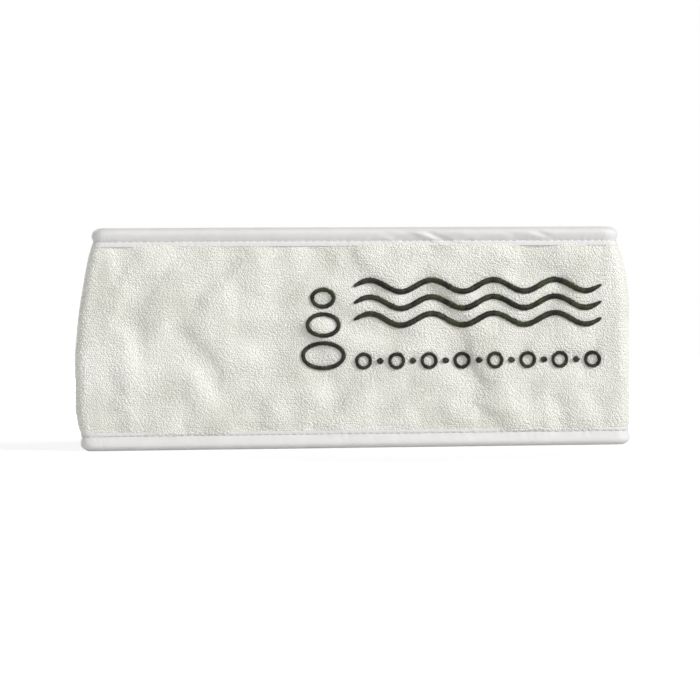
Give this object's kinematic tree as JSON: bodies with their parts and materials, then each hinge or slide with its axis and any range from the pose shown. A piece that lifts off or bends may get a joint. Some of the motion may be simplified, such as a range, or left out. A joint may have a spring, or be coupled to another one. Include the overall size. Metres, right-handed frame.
{
  "type": "spa headband",
  "caption": "Terry spa headband with bound edges and satin-stitch decoration, folded flat, closed behind by a hook-and-loop tab.",
  "frame": {"origin": "middle of the flat loop in X and Y, at its lower edge", "axes": "+Z across the band from the lower to the upper edge, +X from the left to the right fold as seen from the front, the decorated front panel faces -Y"},
  "size_m": [0.252, 0.0174, 0.0985],
  "materials": {
    "terry": "cotton terry pile",
    "binding_tape": "smooth woven polyester tape",
    "seam_thread": "sewing thread",
    "embroidery_thread": "rayon satin stitch",
    "backing": "non-woven stabiliser",
    "loop_tape": "napped loop tape",
    "hook_tape": "woven nylon hook tape"
  },
  "bodies": {
    "front": {"terry_front": "terry", "upper_binding_front": "binding_tape", "lower_binding_front": "binding_tape", "upper_seam_thread_front": "seam_thread", "lower_seam_thread_front": "seam_thread", "stone_embroidery": "embroidery_thread", "ripple_embroidery": "embroidery_thread", "ring_embroidery": "embroidery_thread", "embroidery_backing": "backing"},
    "left_arm": {"terry_left_arm": "terry", "upper_binding_left_arm": "binding_tape", "lower_binding_left_arm": "binding_tape", "upper_seam_thread_left_arm": "seam_thread", "lower_seam_thread_left_arm": "seam_thread", "inner_end_binding": "binding_tape", "inner_end_seam_thread": "seam_thread", "loop_patch": "loop_tape", "loop_patch_stitching": "seam_thread"},
    "right_arm": {"terry_right_arm": "terry", "upper_binding_right_arm": "binding_tape", "lower_binding_right_arm": "binding_tape", "upper_seam_thread_right_arm": "seam_thread", "lower_seam_thread_right_arm": "seam_thread"},
    "tab": {"terry_tab": "terry", "upper_binding_tab": "binding_tape", "lower_binding_tab": "binding_tape", "upper_seam_thread_tab": "seam_thread", "lower_seam_thread_tab": "seam_thread", "tab_end_binding": "binding_tape", "tab_end_seam_thread": "seam_thread", "hook_patch": "hook_tape", "hook_patch_stitching": "seam_thread"}
  },
  "joints": [
    {"name": "right_fold", "type": "hinge", "parent": "front", "child": "right_arm", "pos_m": [0.12605, 0, 0.05], "axis": [0, 0, -1], "range_deg": [0, 178]},
    {"name": "left_fold", "type": "hinge", "parent": "front", "child": "left_arm", "pos_m": [-0.12605, -0.003, 0.05], "axis": [0, 0, 1], "range_deg": [0, 178]},
    {"name": "tab_peel", "type": "hinge", "parent": "right_arm", "child": "tab", "pos_m": [-0.03, 0.00877, 0.05], "axis": [0, 0, -1], "range_deg": [0, 150]}
  ],
  "couplings": [
    {"joint": "left_fold", "follows": "right_fold", "ratio": 1}
  ]
}
